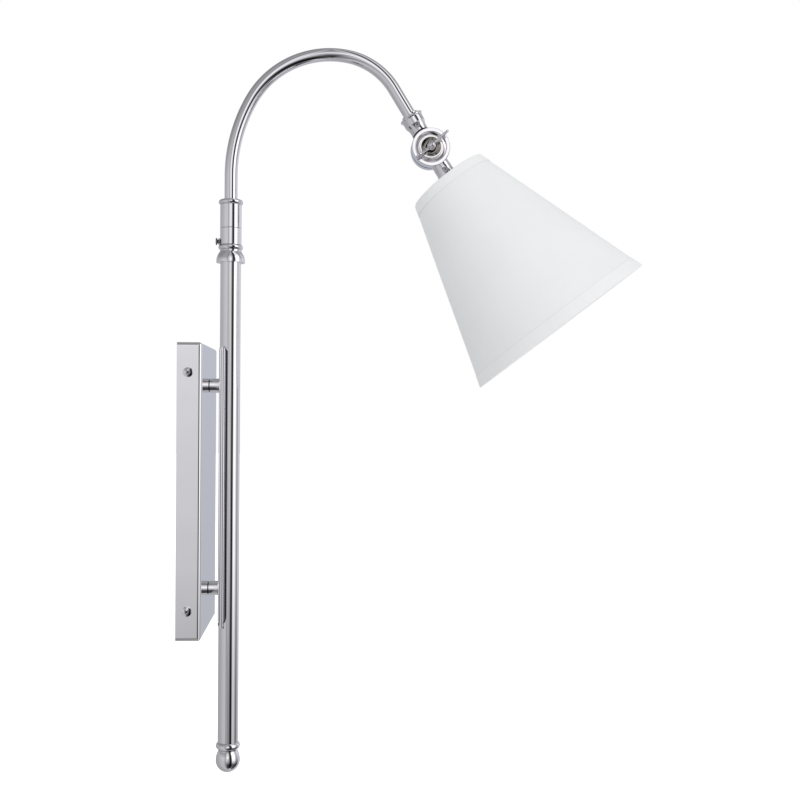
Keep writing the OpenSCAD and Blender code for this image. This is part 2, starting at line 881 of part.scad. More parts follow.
module top_tape_band() {
    color("whitesmoke") difference() {
        edge_tape(0, top_tape, 1);
        fitter_spokes(spoke_r + 0.2);
    }
}

module bottom_tape_band() {
    edge_tape(shade_h, shade_h - bottom_tape, -1);
}

// Spokes from the fitter's ring up to the shade's top wire
module fitter_spokes(r) {
    ring_r = fitter_d/2 - 2;
    wire_at = shade_top_at + wire_r + 2*tape_t;
    rim_r = shade_r(wire_r + 2*tape_t) - fabric_t - wire_r - 0.6;
    run = rim_r - ring_r;
    drop = shoulder_at - wire_at;
    for (i = [0:spoke_count - 1])
        on_shade() rotate(60 + 360/spoke_count*i) translate([ring_r, 0, shoulder_at])
            rotate([0, atan2(run, -drop), 0]) translate([0, 0, -spoke_root])
                cylinder(r = r, h = spoke_root + norm([run, drop]) - wire_r - 0.2);
}

// Ring held on the lampholder, with its spokes
module shade_fitter() {
    color("silver") {
        on_head() pipe(fitter_d, thread_d + 0.2, shoulder_at, shoulder_at + fitter_t);
        fitter_spokes(spoke_r);
    }
}

module ring_nut() {
    start = shoulder_at + fitter_t;
    color("gainsboro") on_head() difference() {
        pipe(ring_nut_d, thread_d, start + 0.1, start + ring_nut_h);
        for (i = [0:23]) rotate(15*i) translate([ring_nut_d/2 + 0.4, 0, start])
            cylinder(d = 2, h = 2*ring_nut_h);
    }
}

module bulb_cap() {
    tip = bulb_at + 4;
    color("silver") on_head() {
        pipe(bulb_cap_d, 0, tip, bulb_glass_at);
        translate([0, 0, bulb_at]) cylinder(d1 = 9, d2 = 20, h = tip - bulb_at + eps);
    }
}

// Pear shape of the bulb, grown inwards by a wall thickness
module bulb_shape(wall) {
    r = bulb_d/2;
    ball_at = bulb_end_at - bulb_glass_at - r;
    meet_at = ball_at - r*sin(bulb_cone_angle);
    meet_r = r*cos(bulb_cone_angle);
    rotate_extrude() {
        polygon([[0, 0], [bulb_cap_d/2 + 0.6 - wall, 0], [meet_r - wall, meet_at], [0, meet_at]]);
        intersection() {
            translate([0, ball_at]) circle(r - wall);
            translate([0, meet_at - eps]) square([2*r, 2*r]);
        }
    }
}

module bulb_glass() {
    color("white") on_head() translate([0, 0, bulb_glass_at]) difference() {
        bulb_shape(0);
        translate([0, 0, -eps]) bulb_shape(bulb_wall);
    }
}

wall_bracket();
backplate();
side_screws();
earth_screw();
terminal_block();
plate_leads();
stem_cable();
upper_post();
lower_post();
post_nuts();
post_washers();
stem_bar();
stem_tube();
foot_bead();
ball_finial();
stem_bell();
lower_sleeve();
pivot_bush();
thumbscrew();
pivot_spigot();
upper_sleeve();
gooseneck_tube();
arm_cable();
arm_socket();
arm_grub_screw();
head_grub_screw();
knuckle_rear();
friction_washer();
knuckle_bolt();
knuckle_front();
cup_washer();
wing_nut();
lamp_neck();
holder_cap();
holder_shell();
holder_core();
screw_shell();
centre_contact();
head_leads();
shade_fitter();
ring_nut();
shade_fabric();
top_wire();
bottom_wire();
top_tape_band();
bottom_tape_band();
bulb_glass();
bulb_cap();
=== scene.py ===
"""Looks of the swing arm wall sconce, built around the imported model. Metres, +X out from the wall, +Z up."""

import json
import math

import bmesh
import bpy
from mathutils import Matrix, Vector


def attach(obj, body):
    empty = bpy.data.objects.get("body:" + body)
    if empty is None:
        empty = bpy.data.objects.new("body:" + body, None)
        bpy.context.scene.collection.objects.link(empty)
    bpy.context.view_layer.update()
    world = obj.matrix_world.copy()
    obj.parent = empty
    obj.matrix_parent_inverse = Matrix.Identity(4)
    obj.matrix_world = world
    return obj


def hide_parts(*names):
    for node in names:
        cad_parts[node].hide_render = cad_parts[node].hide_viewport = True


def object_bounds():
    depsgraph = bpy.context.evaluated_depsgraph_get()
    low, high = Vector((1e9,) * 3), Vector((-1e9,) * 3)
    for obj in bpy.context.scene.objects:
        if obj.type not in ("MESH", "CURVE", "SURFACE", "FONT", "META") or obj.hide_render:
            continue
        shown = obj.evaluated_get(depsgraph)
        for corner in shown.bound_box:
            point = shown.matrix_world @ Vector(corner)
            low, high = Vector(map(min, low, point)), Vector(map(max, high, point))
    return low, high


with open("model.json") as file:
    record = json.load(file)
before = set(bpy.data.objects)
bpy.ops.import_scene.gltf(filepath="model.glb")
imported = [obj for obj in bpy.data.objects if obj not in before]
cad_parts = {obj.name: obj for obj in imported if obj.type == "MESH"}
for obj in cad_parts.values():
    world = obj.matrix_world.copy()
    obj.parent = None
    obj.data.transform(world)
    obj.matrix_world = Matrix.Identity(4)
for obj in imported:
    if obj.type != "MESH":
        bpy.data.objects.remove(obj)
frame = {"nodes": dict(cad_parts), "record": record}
cad_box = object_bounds()
NODES = frame["nodes"]
MM = 0.001


def rotation(degrees, axis):
    return Matrix.Rotation(math.radians(degrees), 4, axis)


# ---- Camera: level with the backplate, square to the arm, turned a little towards the shade ----
CAMERA_AT = (0.1347, -1.0039, 0.0756)
CAMERA_TURN = 3.69      # degrees from +Y towards +X
CAMERA_RISE = 0.34
CAMERA_ROLL = 0.28
CAMERA_LENS = 48.1      # on a 36 mm sensor
SENSOR_W = 36
VIEW_DEPTH = 50

# ---- Floor and key light ----
FLOOR_DROP = 0.6        # floor below the lowest point of the object
FLOOR_SIZE = 40.0
FLOOR_GREY = 0.93
FLOOR_GLOW = 0.6
KEY_AT = (1.1, -1.5, 0.5)
KEY_AIM = (0.3, 0, 0.2)
KEY_SIZE = 1.2
KEY_POWER = 6

# ---- Sizes shared with the part source, in millimetres ----
PIVOT = Vector((226.871, 0, 318.575))                   # centre of the knuckle
HEAD_SLOPE = 56.4       # degrees that the lamp neck points down
WING_SLOPE = 41.0
HUB_H = 7.6             # height of the wing nut's domed hub
DRUM_R = 18.0
DRUM_FACE = 9.5         # drum's face from the arm's plane
RECESS_DEPTH = 2.4
RECESS_R = 14.6         # recess at the face and at its floor
RECESS_FLOOR_R = 12.0
WASHER_R = 10.6
WASHER_T = 3.0
DISH_DEPTH = 1.6
DISH_SPHERE_H = 26.2    # centre of the dish's sphere above the washer's top
BOLT_R = 3.1
NECK_R = 8.3            # of the front half's neck, which starts and ends this far from the pivot
NECK_FROM = 13.0
NECK_TO = 20.4
GAP_SHADE_R = 19.5      # reach of the painted shade on the rear half, in the gap between the knuckle's halves
PLATE_D = 22.0
PLATE_W = 120.0
POST_UNDERCUT = 0.5
SIDE_SCREW_X = 9.8
SIDE_SCREW_Z = 104.5
SIDE_SCREW_HEAD = 1.25  # the cross recess's floor outside the cover's side
STEM_X = 40.6
THUMB_Z = 228.3
THUMB_HEAD_X = 30.3
BEND_Z = 290.0
BENDS = ((146.5, 29.3), (85.6, 70.0), (64.6, 49.0))     # radius and degrees of each bend of the gooseneck
TUBE_R = 6.0
TUBE_SEAT_Z = 256.0
TUBE_STOP_AT = 29.5     # end of the tube from the pivot
SLEEVE_R = 9.9
SEAM_Z = 240.4          # seam between the two sleeves, where the arm swings
SEAM_HALF = 0.25        # half of the seam's width, and the chamfer beside it
COLLAR_Z = 220.4
COLLAR_R = 11.4
ARM_BEAD_Z = 262.4
ARM_BEAD_R = 11.3
BEAD_H = 4.8
BELL_Z = 208.6
BELL_R = 13.2
BELL_RIM = 1.6
DOME_R = 12.6
BALL_TOP_Z = -244.4
BALL_R = 11.2
CROWN_H = 9.1           # height and radius of the ball's flatter crown
CROWN_R = 17.8
FOOT_TOP_Z = -236.2
FOOT_BEAD_H = 7.4
SHOULDER_AT = 64.0      # distances along the head's axis from the pivot
SHADE_TOP_AT = 34.0
SHADE_LEAN = 4.3        # degrees that the shade sits off the neck, sideways and up
SHADE_LIFT = 3.6
SHADE_H = 174.4
SHADE_TOP_R = 39.1
SHADE_BOTTOM_R = 93.8
FABRIC_T = 1.0
TAPE_T = 0.5
TAPE_PROUD = 0.35       # tape's face outside the cloth
TOP_TAPE_W = 10.0
BOTTOM_TAPE_W = 12.0
WIRE_DEPTH = 3.1        # wire's centre inside the shade's outer face, and in from its edge
WIRE_IN = 2.5
TAPE_EDGE = 0.9         # width of the shaded line along a tape's cut edge


# ---- Node helpers ----

class Nodes:
    """Adds shader nodes to a tree and joins them."""

    def __init__(self, tree):
        self.tree = tree
        tree.nodes.clear()

    def add(self, kind, settings=None, **inputs):
        node = self.tree.nodes.new(kind)
        for name, value in (settings or {}).items():
            setattr(node, name, value)
        for name, value in inputs.items():
            self.feed(node, name.replace("_", " "), value)
        return node

    def feed(self, node, name, value):
        key = int(name[2:]) if name.startswith("in") and name[2:].isdigit() else name
        socket = node.inputs[key]
        if isinstance(value, bpy.types.NodeSocket):
            self.tree.links.new(value, socket)
        else:
            socket.default_value = value

    def math(self, operation, a, b=0.0):
        return self.add("ShaderNodeMath", {"operation": operation}, in0=a, in1=b).outputs[0]

    def vector(self, operation, a, b=(0, 0, 0)):
        return self.add("ShaderNodeVectorMath", {"operation": operation}, in0=a, in1=b).outputs

    def axes(self, place):
        return self.add("ShaderNodeSeparateXYZ", Vector=place).outputs

    def noise(self, place, scale, detail=2.0):
        return self.add("ShaderNodeTexNoise", Vector=place, Scale=scale, Detail=detail).outputs["Fac"]

    def stretched(self, place, scale):
        node = self.add("ShaderNodeMapping", Vector=place)
        node.inputs["Scale"].default_value = scale
        return node.outputs[0]

    def remap(self, value, low, high, to_low=0.0, to_high=1.0, smooth=False):
        settings = {"interpolation_type": "SMOOTHSTEP" if smooth else "LINEAR"}
        return self.add("ShaderNodeMapRange", settings, Value=value, in1=low, in2=high, in3=to_low,
                        in4=to_high).outputs[0]

    def mix(self, share, a, b, blend="MIX"):
        settings = {"data_type": "RGBA", "blend_type": blend}
        return self.add("ShaderNodeMix", settings, in0=share, in6=a, in7=b).outputs[2]

    def times(self, a, b):
        return self.mix(1.0, a, b, "MULTIPLY")

    def ramp(self, value, stops):
        node = self.add("ShaderNodeValToRGB", Fac=value)
        elements = node.color_ramp.elements
        while len(elements) < len(stops):
            elements.new(0.5)
        for element, (position, _) in zip(elements, stops):
            element.position = position
        for element, (_, level) in zip(elements, stops):
            element.color = (*level, 1) if hasattr(level, "__len__") else (level, level, level, 1)
        return node.outputs["Color"]

    def relief(self, shader, strength, distance, height):
        bump = self.add("ShaderNodeBump", Strength=strength, Distance=distance, Height=height)
        self.feed(shader, "Normal", bump.outputs[0])


def linear(grey):
    """Linear light of an 8-bit grey level."""
    v = grey / 255
    return v / 12.92 if v <= 0.04045 else ((v + 0.055) / 1.055) ** 2.4


# ---- Studio ----

# Grey levels round the horizon, from straight behind the object on the left to behind it on the right:
# a broad grey wall on the left, two white strips by the lens, a dark flag to its right and a softbox beyond
HORIZON = [(-180, 180), (-120, 168), (-90, 172), (-55, 192), (-32, 196), (-17, 160), (-12, 158), (-10, 216),
           (-5, 216), (-3, 160), (2, 176), (5, 222), (10, 218), (13, 160), (20, 135), (26, 50), (33, 22),
           (40, 45), (46, 215), (53, 278), (72, 272), (82, 215), (92, 172), (102, 152), (118, 208),
           (150, 198), (180, 180)]
# Brightness by height, left of the lens and right of it: a lighter band at eye level under a grey ceiling,
# and on the right a dark table edge below
HEIGHTS_LEFT = [(-90, 0.86), (-60, 0.88), (-30, 0.9), (-13, 0.92), (0, 1.0), (10, 1.05), (20, 0.8),
                (30, 0.62), (60, 0.58), (90, 0.64)]
HEIGHTS_RIGHT = [(-90, 0.74), (-74, 0.7), (-69, 0.2), (-60, 0.09), (-36, 0.07), (-28, 0.15), (-22, 0.34),
                 (-14, 0.52), (-8, 0.8), (2, 1.0), (12, 1.2), (32, 1.25), (42, 0.76), (60, 0.66), (90, 0.66)]
TABLE_EDGE = (-26, 2)               # degrees over which the left heights turn into the right ones
TABLE_END = (100, 140)              # and over which they turn back, behind the object
BACK_TINT = (0.96, 1.0, 1.1)        # daylight behind the object
BACK_FROM, BACK_TO = 0.5, 0.9       # how far back a ray points where that starts and is full
BRIGHTEST = 1.5                     # linear light of a ramp's full white
STUDIO_GAIN = 1.12
CARD_AT = (6, 15)                   # small white card above the lens: turn and rise in degrees
CARD_SPREAD = (5, 10)               # full out to the first angle, gone at the second
FILL_TINT = (0.965, 0.98, 0.99, 1)  # even light on everything that isn't a mirror
FILL_GAIN = 0.87
WHITE = (1, 1, 1, 1)


def studio_light(n, ray):
    """What a mirror sees in each direction, in units of BRIGHTEST squared."""
    x, y, z = n.axes(ray)
    turn = n.math("ARCTAN2", x, n.math("MULTIPLY", y, -1.0))
    around = n.math("ADD", n.math("MULTIPLY", turn, 1 / (2 * math.pi)), 0.5)
    horizon = n.ramp(around, [((a + 180) / 360, linear(g) / BRIGHTEST) for a, g in HORIZON])
    height = n.math("ADD", n.math("MULTIPLY", n.math("ARCSINE", z), 1 / math.pi), 0.5)
    left, right = (n.ramp(height, [((a + 90) / 180, g / BRIGHTEST) for a, g in stops])
                   for stops in (HEIGHTS_LEFT, HEIGHTS_RIGHT))
    edge_from, edge_to, end_from, end_to = (math.radians(a) for a in (*TABLE_EDGE, *TABLE_END))
    past_edge = n.remap(turn, edge_from, edge_to, smooth=True)
    before_end = n.remap(turn, end_from, end_to, 1.0, 0.0, smooth=True)
    heights = n.mix(n.math("MULTIPLY", past_edge, before_end), left, right)
    behind = n.remap(y, BACK_FROM, BACK_TO, smooth=True)
    seen = n.times(n.times(horizon, heights), n.mix(behind, WHITE, (*BACK_TINT, 1)))
    side, up = (math.radians(a) for a in CARD_AT)
    card = (math.sin(side) * math.cos(up), -math.cos(side) * math.cos(up), math.sin(up))
    facing = n.vector("DOT_PRODUCT", ray, card)["Value"]
    near, far = (math.cos(math.radians(a)) for a in CARD_SPREAD)
    lit_card = n.remap(facing, far, near, smooth=True)
    return n.mix(lit_card, seen, (*(1 / BRIGHTEST ** 2,) * 3, 1))


def studio_world():
    """Mirrors see the studio, everything else is lit by an even fill, and the camera sees plain white."""
    world = bpy.data.worlds.new("studio")
    bpy.context.scene.world = world
    world.use_nodes = True
    n = Nodes(world.node_tree)
    seen = studio_light(n, n.add("ShaderNodeTexCoord").outputs["Generated"])
    path = n.add("ShaderNodeLightPath").outputs
    mirrored = n.add("ShaderNodeBackground", Color=seen, Strength=STUDIO_GAIN * BRIGHTEST ** 2).outputs[0]
    fill = n.add("ShaderNodeBackground", Color=FILL_TINT, Strength=FILL_GAIN).outputs[0]
    backdrop = n.add("ShaderNodeBackground", Color=WHITE, Strength=1.0).outputs[0]
    lit = n.add("ShaderNodeMixShader", Fac=path["Is Diffuse Ray"], in1=mirrored, in2=fill).outputs[0]
    mixed = n.add("ShaderNodeMixShader", Fac=path["Is Camera Ray"], in1=lit, in2=backdrop).outputs[0]
    n.add("ShaderNodeOutputWorld", Surface=mixed)


def key_light():
    light = bpy.data.lights.new("key", "AREA")
    light.shape = "DISK"
    light.size = KEY_SIZE
    light.energy = KEY_POWER
    lamp = bpy.data.objects.new("key", light)
    bpy.context.scene.collection.objects.link(lamp)
    lamp.location = KEY_AT
    lamp.rotation_euler = (Vector(KEY_AIM) - Vector(KEY_AT)).to_track_quat("-Z", "Y").to_euler()
    lamp.visible_glossy = False


def camera():
    data = bpy.data.cameras.new("camera")
    data.sensor_width = SENSOR_W
    data.lens = CAMERA_LENS
    data.clip_end = VIEW_DEPTH
    view = bpy.data.objects.new("camera", data)
    bpy.context.scene.collection.objects.link(view)
    view.matrix_world = (Matrix.Translation(CAMERA_AT) @ rotation(-CAMERA_TURN, "Z")
                         @ rotation(90 + CAMERA_RISE, "X") @ rotation(CAMERA_ROLL, "Z"))
    bpy.context.scene.camera = view


def floor():
    """Pale floor well below the object, bright enough to pass for the backdrop."""
    half = FLOOR_SIZE / 2
    z = cad_box[0][2] - FLOOR_DROP
    corners = [(-half, -half, z), (half, -half, z), (half, half, z), (-half, half, z)]
    mesh = bpy.data.meshes.new("floor")
    mesh.from_pydata(corners, [], [(0, 1, 2, 3)])
    plane = bpy.data.objects.new("floor", mesh)
    bpy.context.scene.collection.objects.link(plane)
    pale = moulded("floor", (FLOOR_GREY,) * 3, 0.9)
    for node in pale.node_tree.nodes:
        if node.type == "BSDF_PRINCIPLED":
            node.inputs["Emission Color"].default_value = WHITE
            node.inputs["Emission Strength"].default_value = FLOOR_GLOW
    mesh.materials.append(pale)
    plane.visible_glossy = False
    plane.visible_diffuse = False


# ---- Materials ----

CHROME_TINT = (0.875, 0.862, 0.905)
PLATE_TINT = (0.865, 0.855, 0.892)
WASHER_TINT = (0.88, 0.86, 0.85)
# Painted shade: a darker tone for the inside of the washer's dish, and a near-black one for the knuckle's gap,
# the posts' undercuts and the wing nut's foot
DISH_SHADE_TINT = (0.5, 0.47, 0.45)
PAINTED_SHADE_DARK = (0.03, 0.028, 0.026)
WARP_PITCH = 0.42       # thread spacing of the linen in millimetres
WEFT_PITCH = 0.46
TAPE_WARP_PITCH = 0.3
TAPE_WEFT_PITCH = 0.5


def new_material(name):
    material = bpy.data.materials.new(name)
    material.use_nodes = True
    n = Nodes(material.node_tree)
    shader = n.add("ShaderNodeBsdfPrincipled")
    n.add("ShaderNodeOutputMaterial", Surface=shader.outputs[0])
    return material, n, shader


def faded(colour, share):
    return tuple(c * share for c in colour)


def near_pivot(reach, nearest, farthest):
    """Zone round the knuckle's axis: within a radius, and between two depths from the pivot towards +Y."""
    def zone(n, place):
        off = n.vector("SUBTRACT", place, tuple(PIVOT * MM))[0]
        away = n.vector("LENGTH", n.vector("MULTIPLY", off, (1, 0, 1))[0])["Value"]
        depth = n.axes(off)[1]
        between = n.math("MULTIPLY", n.math("GREATER_THAN", depth, nearest * MM),
                         n.math("LESS_THAN", depth, farthest * MM))
        return n.math("MULTIPLY", n.math("LESS_THAN", away, reach * MM), between)
    return zone


def post_seat_shade(n, place):
    """Zone of the undercut where a post stands on the backplate, darkened there as painted shade."""
    return n.math("LESS_THAN", n.axes(place)[0], (PLATE_D + POST_UNDERCUT) * MM)


def chrome(name, tint=CHROME_TINT, roughness=0.02, marks=0.02, painted_shade_zone=None, painted_shade_tone=PAINTED_SHADE_DARK,
           painted_shade_haze=0.4):
    """Mirror plate with faint haze and handling marks; where the zone argument gives 1, a dark tone and extra
    roughness are mixed in as painted shade.
    """
    material, n, shader = new_material(name)
    place = n.add("ShaderNodeTexCoord").outputs["Object"]
    haze = n.noise(place, 38.0, 4.0)
    shader.inputs["Metallic"].default_value = 1.0
    tone = n.ramp(haze, [(0.3, tint), (0.7, faded(tint, 0.975))])
    spread = n.remap(haze, 0.35, 0.7, roughness, roughness * 2.2)
    # Painted shade: the zone's dark tone and added roughness
    if painted_shade_zone:
        shade_mask = painted_shade_zone(n, place)
        tone = n.mix(shade_mask, tone, (*painted_shade_tone, 1))
        spread = n.math("ADD", spread, n.math("MULTIPLY", shade_mask, painted_shade_haze))
    n.feed(shader, "Base Color", tone)
    n.feed(shader, "Roughness", spread)
    n.relief(shader, marks, 0.00005, n.noise(place, 700.0, 3.0))
    return material


def satin_metal(name, colour, roughness):
    """Plated or spun metal with a fine drawn grain."""
    material, n, shader = new_material(name)
    place = n.add("ShaderNodeTexCoord").outputs["Object"]
    grain = n.noise(n.stretched(place, (900, 900, 60)), 1.0, 3.0)
    stain = n.noise(place, 70.0, 5.0)
    shader.inputs["Metallic"].default_value = 1.0
    n.feed(shader, "Base Color", n.ramp(stain, [(0.3, colour), (0.75, faded(colour, 0.82))]))
    n.feed(shader, "Roughness", n.remap(grain, 0.3, 0.7, roughness * 0.8, roughness * 1.25))
    n.relief(shader, 0.15, 0.0002, grain)
    return material


def moulded(name, colour, roughness, coat=0.0):
    """Plastic, fibre or glaze: fine texture and slight mottling."""
    material, n, shader = new_material(name)
    place = n.add("ShaderNodeTexCoord").outputs["Object"]
    mottle = n.noise(place, 120.0, 3.0)
    n.feed(shader, "Base Color", n.ramp(mottle, [(0.3, colour), (0.75, faded(colour, 0.93))]))
    n.feed(shader, "Roughness", n.remap(mottle, 0.3, 0.7, roughness, roughness * 1.2))
    shader.inputs["Coat Weight"].default_value = coat
    n.relief(shader, 0.12, 0.0001, n.noise(place, 1600.0))
    return material


def woven(name, colour, pitch, weft_pitch, slub, relief, edge=False):
    """Plain weave, counted in threads over the cloth's own flat measure, with uneven threads."""
    material, n, shader = new_material(name)
    flat = n.add("ShaderNodeUVMap", {"uv_map": "flat"}).outputs["UV"]
    across, along = n.axes(flat)[0], n.axes(flat)[1]
    waver = n.math("MULTIPLY", n.math("SUBTRACT", n.noise(flat, 260.0), 0.5), 1.4)
    warp, weft = (n.math("SINE", n.math("ADD", n.math("MULTIPLY", way, math.pi / (gap * MM)), waver))
                  for way, gap in ((across, pitch), (along, weft_pitch)))
    over = n.math("GREATER_THAN", n.math("MULTIPLY", warp, weft), 0.0)
    weft_h, warp_h = n.math("MULTIPLY", n.math("ABSOLUTE", weft), 0.75), n.math("ABSOLUTE", warp)
    thread = n.add("ShaderNodeMix", {"data_type": "FLOAT"}, in0=over, in2=weft_h, in3=warp_h).outputs[0]
    slubs = n.math("ADD", n.noise(n.stretched(flat, (30, 1400, 1)), 1.0),
                   n.noise(n.stretched(flat, (1400, 30, 1)), 1.0))
    yarn = n.ramp(n.math("MULTIPLY", slubs, 0.5), [(0.3, faded(colour, 1 - slub)), (0.6, colour)])
    # Painted shade: darker where the threads dip, in the hollows of the weave
    tone = n.times(yarn, n.ramp(thread, [(0.0, 0.86), (0.45, 1.0)]))
    tone = n.times(tone, n.ramp(n.noise(flat, 14.0, 4.0), [(0.3, 0.975), (0.65, 1.0)]))
    if edge:
        # Shadow and glue line along the cut edge of the tape
        rim = n.math("MULTIPLY", along, 1 / (TAPE_EDGE * MM))
        tone = n.times(tone, n.ramp(rim, [(0.0, 0.92), (0.7, 0.96), (1.0, 1.0)]))
    n.feed(shader, "Base Color", tone)
    n.feed(shader, "Roughness", n.remap(thread, 0.0, 1.0, 0.95, 0.8))
    shader.inputs["Specular IOR Level"].default_value = 0.25
    shader.inputs["Sheen Weight"].default_value = 0.06
    shader.inputs["Sheen Roughness"].default_value = 0.5
    n.relief(shader, relief, 0.0001, n.math("ADD", thread, n.math("MULTIPLY", slubs, 0.3)))
    return material


MATERIALS = {
    "polished_chrome": chrome("polished_chrome"),
    "zinc_steel": satin_metal("zinc_steel", (0.58, 0.59, 0.61), 0.32),
    "dark_steel": satin_metal("dark_steel", (0.34, 0.34, 0.355), 0.2),
    "green_steel": moulded("green_steel", (0.06, 0.34, 0.13), 0.35),
    "terminal_plastic": moulded("terminal_plastic", (0.80, 0.78, 0.70), 0.5),
    "lead_sleeve": moulded("lead_sleeve", (0.03, 0.03, 0.03), 0.45),
    "cable_sheath": moulded("cable_sheath", (0.7, 0.7, 0.71), 0.5),
    "yellow_brass": satin_metal("yellow_brass", (0.76, 0.57, 0.25), 0.25),
    "bush_bronze": satin_metal("bush_bronze", (0.5, 0.33, 0.18), 0.35),
    "fibre_washer": moulded("fibre_washer", (0.04, 0.04, 0.04), 0.6),
    "holder_ceramic": moulded("holder_ceramic", (0.86, 0.85, 0.82), 0.18, coat=0.5),
    "shade_linen": woven("shade_linen", (0.9, 0.898, 0.9), WARP_PITCH, WEFT_PITCH, slub=0.02, relief=0.35),
    "shade_tape": woven("shade_tape", (0.91, 0.908, 0.91), TAPE_WARP_PITCH, TAPE_WEFT_PITCH, slub=0.015,
                        relief=0.3, edge=True),
    "bulb_opal": moulded("bulb_opal", (0.92, 0.92, 0.9), 0.12, coat=0.4),
    "bulb_cap_metal": satin_metal("bulb_cap_metal", (0.7, 0.7, 0.71), 0.28),
}


# ---- Mesh helpers: sizes in millimetres, turned into metres by the frame they are built in ----

def placed(at, turn):
    """Frame at a point in millimetres; turn maps local axes to the row frame."""
    return Matrix.Diagonal((MM, MM, MM, 1)) @ Matrix.Translation(at) @ turn


# +Z along the lamp neck, from the pivot
HEAD_FRAME = placed(PIVOT, rotation(90 + HEAD_SLOPE, "Y"))
# +Z down the shade, from its top edge
SHADE_FRAME = (HEAD_FRAME @ Matrix.Translation((0, 0, SHOULDER_AT)) @ rotation(-SHADE_LIFT, "Y")
               @ rotation(SHADE_LEAN, "X") @ Matrix.Translation((0, 0, SHADE_TOP_AT - SHOULDER_AT)))
# Along the knuckle's axis, +Z towards the near side
DRUM_FRAME = placed(PIVOT, rotation(90, "X"))
STEM_FRAME = placed((STEM_X, 0, 0), Matrix.Identity(4))


def polar(r, angle, z):
    return Vector((r * math.cos(angle), r * math.sin(angle), z))


def full_turn(count):
    return (2 * math.pi * k / count for k in range(count))


def skin(name, rings, place, wrap=True, uv=None, sharp=35):
    """Quads over rings of local points. Rings close on themselves; wrap joins the last ring to the first."""
    rows, cols = len(rings), len(rings[0])
    mesh = bpy.data.meshes.new(name)
    verts = [place @ p for ring in rings for p in ring]
    faces, corners = [], []
    for i in range(rows if wrap else rows - 1):
        for j in range(cols):
            quad = ((i, j), (i, j + 1), (i + 1, j + 1), (i + 1, j))
            faces.append([(a % rows) * cols + b % cols for a, b in quad])
            corners.extend(quad)
    if not wrap:
        faces.append(list(range(cols))[::-1])
        faces.append([(rows - 1) * cols + j for j in range(cols)])
    mesh.from_pydata(verts, [], faces)
    if uv:
        layer = mesh.uv_layers.new(name="flat")
        for k, (i, j) in enumerate(corners):
            layer.data[k].uv = uv(i, j)
    tidy_mesh(mesh, sharp)
    return link(name, mesh)


def tidy_mesh(mesh, sharp):
    work = bmesh.new()
    work.from_mesh(mesh)
    bmesh.ops.remove_doubles(work, verts=work.verts, dist=1e-7)
    bmesh.ops.recalc_face_normals(work, faces=work.faces)
    for face in work.faces:
        face.smooth = True
    work.to_mesh(mesh)
    work.free()
    mesh.set_sharp_from_angle(angle=math.radians(sharp))


def link(name, mesh):
    piece = bpy.data.objects.new(name, mesh)
    bpy.context.scene.collection.objects.link(piece)
    return piece


def joined(name, pieces):
    """One object from several, keeping their shells."""
    work = bmesh.new()
    for piece in pieces:
        work.from_mesh(piece.data)
    mesh = bpy.data.meshes.new(name)
    work.to_mesh(mesh)
    work.free()
    for piece in pieces:
        bpy.data.objects.remove(piece)
    return link(name, mesh)


def turned(name, profile, place, around=128, radius=None):
    """A profile of (radius, height) turned round local Z; radius(r, h, angle) may knurl it."""
    rings = [[polar(radius(r, h, angle) if radius else r, angle, h) for r, h in profile]
             for angle in full_turn(around)]
    return skin(name, rings, place)


def rounded(points, reach, steps=4):
    """A closed outline of (x, y) with each corner cut back by reach and rounded."""
    out = []
    for k, here in enumerate(points):
        here, back, ahead = Vector(here), Vector(points[k - 1]), Vector(points[(k + 1) % len(points)])
        cut = min(reach, (back - here).length * 0.45, (ahead - here).length * 0.45)
        a = here + (back - here).normalized() * cut
        b = here + (ahead - here).normalized() * cut
        for i in range(steps + 1):
            t = i / steps
            out.append(tuple(a * (1 - t) ** 2 + here * 2 * t * (1 - t) + b * t ** 2))
    return out


def arc(centre, r, start, end, steps):
    """Points of an arc in (radius, height), from one angle to another in degrees."""
    angles = [math.radians(start + (end - start) * i / steps) for i in range(steps + 1)]
    return [(centre[0] + r * math.cos(a), centre[1] + r * math.sin(a)) for a in angles]


def bead(r, z, h):
    """Half-round edge of a bead that stands on z."""
    return arc((r - h / 2, z + h / 2), h / 2, -90, 90, 14)


def finished(piece, body, slot_name, *nodes, material=None):
    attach(piece, body)
    if nodes:
        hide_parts(*nodes)
    piece.data.materials.append(material or MATERIALS[slot_name])
    return piece


# ---- Shade ----

SHADE_COLUMNS = 288     # mesh columns round the shade
CLOTH_ROWS = 56
HALF_ANGLE = math.atan((SHADE_BOTTOM_R - SHADE_TOP_R) / SHADE_H)
SEAM_ANGLE = math.radians(78)
SEAM_LAP = math.radians(7)
LAP_SLOPE = math.radians(0.6)
LAP_T = 0.35
WRAP_GAP = 0.1          # room between the wire and the tape round it
WRAP_T = 0.45


def shade_r(s):
    return SHADE_TOP_R + (SHADE_BOTTOM_R - SHADE_TOP_R) * s / SHADE_H


def flat_uv(angle, s):
    """Where a point of the cone lies on the cut cloth, in metres."""
    reach, bend = shade_r(s) / math.sin(HALF_ANGLE) * MM, angle * math.sin(HALF_ANGLE)
    return reach * math.sin(bend), reach * math.cos(bend)


def cloth_swell(angle, s):
    """Outward wander of the lined cloth: slack between the rings and the lap of its seam."""
    slack = (0.16 * math.sin(5 * angle + 1.1) + 0.11 * math.sin(9 * angle + s / 40)
             + 0.06 * math.sin(17 * angle))
    held = math.sin(math.pi * min(max(s / SHADE_H, 0), 1))
    off = (angle - SEAM_ANGLE + math.pi) % (2 * math.pi) - math.pi
    lap = max(0.0, min(1.0, (SEAM_LAP / 2 - abs(off)) / LAP_SLOPE)) * LAP_T
    return slack * held + lap


